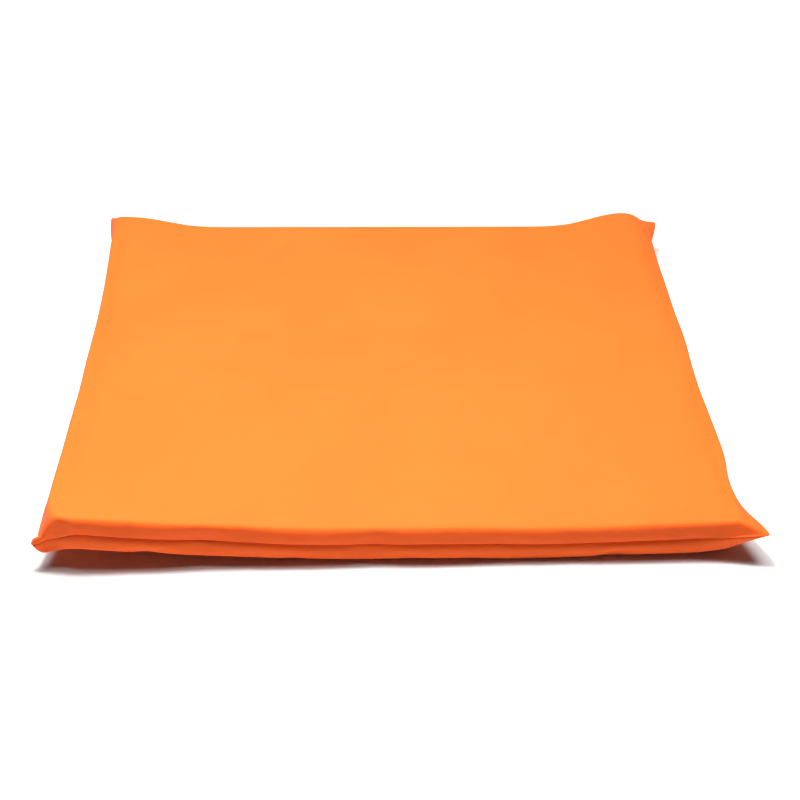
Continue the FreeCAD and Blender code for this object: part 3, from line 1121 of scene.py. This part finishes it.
@dataclass
class Zip:
    """The coil zip on the back edge, with its sizes read from the frame."""

    tape: Material
    filament: Material
    thread: Material
    metal: Material
    pitch_mm: float = 1.6
    filament_mm: float = 0.74
    mesh_mm: float = 0.5
    lean: float = 0.16
    start_mm: float = 0.45
    stitch_pitch_mm: float = 3.2
    stitch_mm: float = 2.5
    stitch_width_mm: float = 0.55
    stitch_depth_mm: float = 0.5
    stitch_lean: float = 3.0
    tack_stitches: int = 8
    tack_width_mm: float = 0.42
    wedge_shoulder_mm: float = 2.0
    spread_end_mm: float = 8.6
    tape_fold_mm: float = 3.2
    cord_mm: float = 1.2

    def spread(self, x: float, half: Half) -> float:
        """How far the slider's wedge holds a coil off the centre line.

        Args:
            x: Place along the zip, in metres.
            half: Which coil.

        Returns:
            The distance in metres.
        """
        low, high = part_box(self.coil_node(half))
        slack = (high.z - low.z) - self.straight_width(half)
        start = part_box("zip_slider_body")[0].x
        along = (x - start) / MM
        full = self.spread_end_mm - self.wedge_shoulder_mm
        return slack * min(1.0, max(0.0, (self.spread_end_mm - along) / full))

    def straight_width(self, half: Half) -> float:
        """Width of a coil where both halves are in mesh.

        Args:
            half: Which coil.

        Returns:
            The width in metres, taken from the last of the CAD coil, which no slider spreads.
        """
        low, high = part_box(self.coil_node(half))
        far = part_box("zip_tape_upper")[1].x
        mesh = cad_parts[self.coil_node(half)].data
        right = [v.co.z for v in mesh.vertices if v.co.x > far - 15 * MM]
        return max(right) - min(right)

    @staticmethod
    def coil_node(half: Half) -> str:
        """Name of the CAD node of a coil."""
        return "zip_coil_upper" if half is Half.TOP else "zip_coil_lower"

    def turn(self, half: Half, wide: float, deep: float) -> Form:
        """One turn of filament: a flattened ring that leans along the zip.

        Args:
            half: Which coil.
            wide: Half the ring's height, to the middle of the filament, in metres.
            deep: The same front to back.

        Returns:
            A small closed bmesh round the origin.
        """
        thread = self.filament_mm * MM / 2
        bm = bmesh.new()
        bmesh.ops.create_circle(bm, segments=5, radius=thread, cap_ends=False)
        for axis in ("Y", "Z"):
            bmesh.ops.rotate(bm, verts=bm.verts[:], matrix=Matrix.Rotation(math.radians(90), 3, axis))
        bmesh.ops.translate(bm, verts=bm.verts[:], vec=(0, 0, wide))
        bmesh.ops.spin(bm, geom=bm.edges[:], axis=(1, 0, 0), cent=(0, 0, 0), angle=math.tau, steps=12,
                       use_merge=True)
        bmesh.ops.recalc_face_normals(bm, faces=bm.faces[:])
        for vert in bm.verts:
            vert.co.y *= (deep + thread) / (wide + thread)
            vert.co.x += vert.co.z * half.value * -self.lean
        return bm

    def coil(self, half: Half) -> Piece:
        """One coil: flattened, leaning turns of filament, a pitch apart.

        Args:
            half: Which side of the chain.

        Returns:
            The finished coil.
        """
        low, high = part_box(self.coil_node(half))
        centre_z = sum(corner.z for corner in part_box("zip_end_tack_left")) / 2
        width = self.straight_width(half)
        thread = self.filament_mm * MM / 2
        middle = centre_z - half.value * self.mesh_mm * MM + half.value * width / 2
        phase = 0.0 if half is Half.TOP else self.pitch_mm / 2
        places = []
        for index in range(int((high.x - low.x - self.pitch_mm * MM) / (self.pitch_mm * MM))):
            x = low.x + (phase + self.start_mm + index * self.pitch_mm) * MM
            z = middle + half.value * self.spread(x, half)
            places.append(Matrix.Translation((x, (low.y + high.y) / 2, z)))
        ring = self.turn(half, width / 2 - thread, (high.y - low.y) / 2 - thread)
        return make_object(f"{self.coil_node(half)}_turns", repeat(ring, places), self.filament)

    def tape_strip(self, half: Half) -> Piece:
        """One tape: a thin strip, divided at the cord along the chain's edge, with its edges eased.

        Args:
            half: Which tape.

        Returns:
            The finished tape.
        """
        name = "zip_tape_upper" if half is Half.TOP else "zip_tape_lower"
        low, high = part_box(name)
        low.x, high.x = low.x + self.tape_fold_mm * MM, high.x - self.tape_fold_mm * MM
        bm = bmesh.new()
        bmesh.ops.create_cube(bm, size=1.0)
        bmesh.ops.scale(bm, verts=bm.verts[:], vec=high - low)
        bmesh.ops.translate(bm, verts=bm.verts[:], vec=(low + high) / 2)
        cord_z = (low.z if half is Half.TOP else high.z) + half.value * self.cord_mm * MM
        bmesh.ops.bisect_plane(bm, geom=bm.verts[:] + bm.edges[:] + bm.faces[:], plane_co=(0, 0, cord_z),
                               plane_no=(0, 0, 1))
        bmesh.ops.bevel(bm, geom=bm.edges[:], offset=0.18 * MM, segments=2, affect="EDGES", profile=0.5,
                        material=-1)
        return make_object(f"{name}_weave", bm, self.tape)

    def stitch_row(self, half: Half) -> Piece:
        """The row of stitches on one lip, each at the place of its CAD stitch.

        Args:
            half: Which lip.

        Returns:
            The finished row.
        """
        name = "zip_stitching_upper" if half is Half.TOP else "zip_stitching_lower"
        low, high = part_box(name)
        count = round((high.x - low.x - self.stitch_mm * MM) / (self.stitch_pitch_mm * MM)) + 1
        length = self.stitch_mm * 1.08 * MM
        template = stitch_shape(length, self.stitch_width_mm * MM, self.stitch_depth_mm * MM)
        lean = Matrix.Rotation(math.radians(self.stitch_lean), 4, "Y")
        places = []
        for index in range(count):
            x = low.x + (self.stitch_mm / 2 + index * self.stitch_pitch_mm) * MM
            places.append(Matrix.Translation((x, low.y + 0.1 * MM, (low.z + high.z) / 2)) @ lean)
        return make_object(f"{name}_thread", repeat(template, places), self.thread)

    def tack(self, side: str) -> Piece:
        """The dense satin stitch that closes one end of the zip.

        Args:
            side: Which end, left or right.

        Returns:
            The finished tack.
        """
        low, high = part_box(f"zip_end_tack_{side}")
        size = high - low
        template = stitch_shape(size.z, self.tack_width_mm * MM, size.y)
        upright = Matrix.Rotation(math.radians(90), 4, "Y")
        places = []
        for index in range(self.tack_stitches):
            x = low.x + size.x * (index + 0.5) / self.tack_stitches
            places.append(Matrix.Translation((x, (low.y + high.y) / 2, (low.z + high.z) / 2)) @ upright)
        return make_object(f"zip_end_tack_{side}_satin", repeat(template, places), self.thread)

    def eased(self, name: str, ease_mm: float) -> Piece:
        """Copy of a cast piece with its edges rounded off.

        Args:
            name: CAD node to copy.
            ease_mm: Width of the rounding.

        Returns:
            The finished piece.
        """
        bm = bmesh.new()
        bm.from_mesh(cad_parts[name].data)
        bmesh.ops.remove_doubles(bm, verts=bm.verts[:], dist=1e-6)
        bmesh.ops.dissolve_limit(bm, angle_limit=math.radians(2), verts=bm.verts[:], edges=bm.edges[:])
        sharp = [e for e in bm.edges if len(e.link_faces) == 2 and e.calc_face_angle(0.0) > math.radians(25)]
        bmesh.ops.bevel(bm, geom=sharp, offset=ease_mm * MM, segments=3, affect="EDGES", profile=0.5,
                        material=-1, clamp_overlap=True)
        return make_object(f"{name}_cast", bm, self.metal)

    def build(self) -> None:
        """Make and settle every piece of the zip."""
        for half, where in ((Half.TOP, "upper"), (Half.BOTTOM, "lower")):
            settle(self.tape_strip(half), PAD, "zip_tape", f"zip_tape_{where}")
            settle(self.coil(half), PAD, "zip_coil", f"zip_coil_{where}")
            settle(self.stitch_row(half), PAD, "seam_thread", f"zip_stitching_{where}")
        for side in ("left", "right"):
            settle(self.tack(side), PAD, "seam_thread", f"zip_end_tack_{side}")
        settle(self.eased("zip_slider_body", 0.18), SLIDER, "zip_metal", "zip_slider_body")
        settle(self.eased("zip_pull_tab", 0.2), PULL, "zip_metal", "zip_pull_tab")


# ---------------------------------------------------------------- studio

class LampKind(Enum):
    """The kinds of light in the studio."""

    SUN = "SUN"
    AREA = "AREA"


@dataclass(frozen=True)
class Lamp:
    """One light, which shines down and is tilted about X.

    Attributes:
        name: Its name.
        kind: Sun or square area light.
        power: Its strength, or watts on an area light.
        size: The sun's angle in degrees, or an area light's side in metres.
        place: Where it hangs, in metres.
        tilt: Its turn about X in degrees.
    """

    name: str
    kind: LampKind
    power: float
    size: float
    place: Triple
    tilt: float

    def hang(self) -> None:
        """Put the light in the scene."""
        light = bpy.data.lights.new(self.name, self.kind.value)
        light.energy = self.power
        if self.kind is LampKind.SUN:
            light.angle = math.radians(self.size)
        else:
            light.size = self.size
        lamp = bpy.data.objects.new(self.name, light)
        lamp.location = self.place
        lamp.rotation_euler = (math.radians(self.tilt), 0.0, 0.0)
        bpy.context.scene.collection.objects.link(lamp)


@dataclass
class Studio:
    """Plain pale floor, soft light and the camera."""

    eye_mm: Triple = (-43.9, -760.7, 681.5)
    pitch: float = 42.29
    yaw: float = 3.97
    roll: float = 2.15
    lens_mm: float = 56.45
    floor_tone: str = "CCCCCC"
    surround: float = 0.04
    lamps: tuple[Lamp, ...] = (
        Lamp("behind", LampKind.SUN, 3.3, 26.0, (0.0, 0.6, 2.0), -9.5),
        Lamp("overhead", LampKind.AREA, 27.0, 0.22, (-0.12, 0.0, 1.0), -45.0),
        Lamp("backdrop", LampKind.AREA, 30.0, 1.5, (0.1, 1.6, 1.2), 30.0))

    def floor(self) -> None:
        """Lay the floor, far wider than the view."""
        bm = bmesh.new()
        bmesh.ops.create_grid(bm, x_segments=8, y_segments=8, size=6.0)
        material, tree = blank_material("plain_floor")
        where = node(tree, "TexCoord")
        tone = node(tree, "TexNoise", {"Vector": where.outputs["Object"], "Scale": 1.5})
        rough = node(tree, "MapRange", {"Value": tone.outputs["Fac"], "To Min": 0.85, "To Max": 0.95})
        shader = node(tree, "BsdfPrincipled", {
            "Base Color": linear(self.floor_tone), "Roughness": rough.outputs["Result"],
            "Specular IOR Level": 0.1})
        finish_material(tree, shader)
        make_object("floor", bm, material)

    def lights(self) -> None:
        """Light the pad from behind and above and the far floor by a wide light, in a faint even surround."""
        scene = bpy.context.scene
        scene.view_settings.view_transform = "Standard"
        world = bpy.data.worlds.new("surround")
        world.use_nodes = True
        even = world.node_tree.nodes["Background"].inputs
        even["Color"].default_value = (1.0, 1.0, 1.0, 1.0)
        even["Strength"].default_value = self.surround
        scene.world = world
        for lamp in self.lamps:
            lamp.hang()

    def camera(self) -> None:
        """Stand the camera before the pad's front edge, looking down at it."""
        data = bpy.data.cameras.new("camera")
        data.lens = self.lens_mm
        data.sensor_width = 36.0
        data.clip_end = 50.0
        eye = bpy.data.objects.new("camera", data)
        look = Euler((math.radians(90 - self.pitch), 0.0, math.radians(-self.yaw))).to_matrix().to_4x4()
        tilt = Matrix.Rotation(math.radians(self.roll), 4, "Z")
        eye.matrix_world = Matrix.Translation(Vector(self.eye_mm) * MM) @ look @ tilt
        bpy.context.scene.collection.objects.link(eye)
        bpy.context.scene.camera = eye

    def build(self) -> None:
        """Set up the whole studio."""
        self.camera()
        self.floor()
        self.lights()


# ---------------------------------------------------------------- assembly

def read_form() -> PadForm:
    """Take the pad's main sizes from the frame.

    Returns:
        The pad's form, in millimetres.
    """
    lip_slack_mm, tack_cover_mm = 0.2, 0.5
    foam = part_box("foam_slab")[1]
    tack_low, tack_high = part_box("zip_end_tack_right")
    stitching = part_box("zip_stitching_upper")[0]
    return PadForm(
        half_x=foam.x / MM,
        half_y=foam.y / MM,
        seam_z=(tack_low.z + tack_high.z) / 2 / MM,
        lip_edge=(tack_high.z - tack_low.z) / 2 / MM + lip_slack_mm,
        lip_out=stitching.y / MM,
        opening=tack_high.x / MM - tack_cover_mm,
    )


def main() -> None:
    """Build, dress and settle every piece."""
    Studio().build()
    form = read_form()
    cloth = WovenCloth().make()
    thread = SewingThread().make()
    panels, seam = Cover(form, cloth).build()
    for panel, name in zip(panels, ("cover_top_panel", "cover_bottom_panel")):
        settle(panel, PAD, "cover_cloth", name)
    core = settle(FoamCore(form, ClosedCellFoam().make()).build(), PAD, "foam", "foam_slab")
    settle(EdgeSeam(seam, thread).build(), PAD, "seam_thread", "edge_seam_thread")
    Zip(ZipTapeWeave().make(), NylonFilament().make(), thread, NickelPlate().make()).build()


if __name__ == "__main__":
    main()
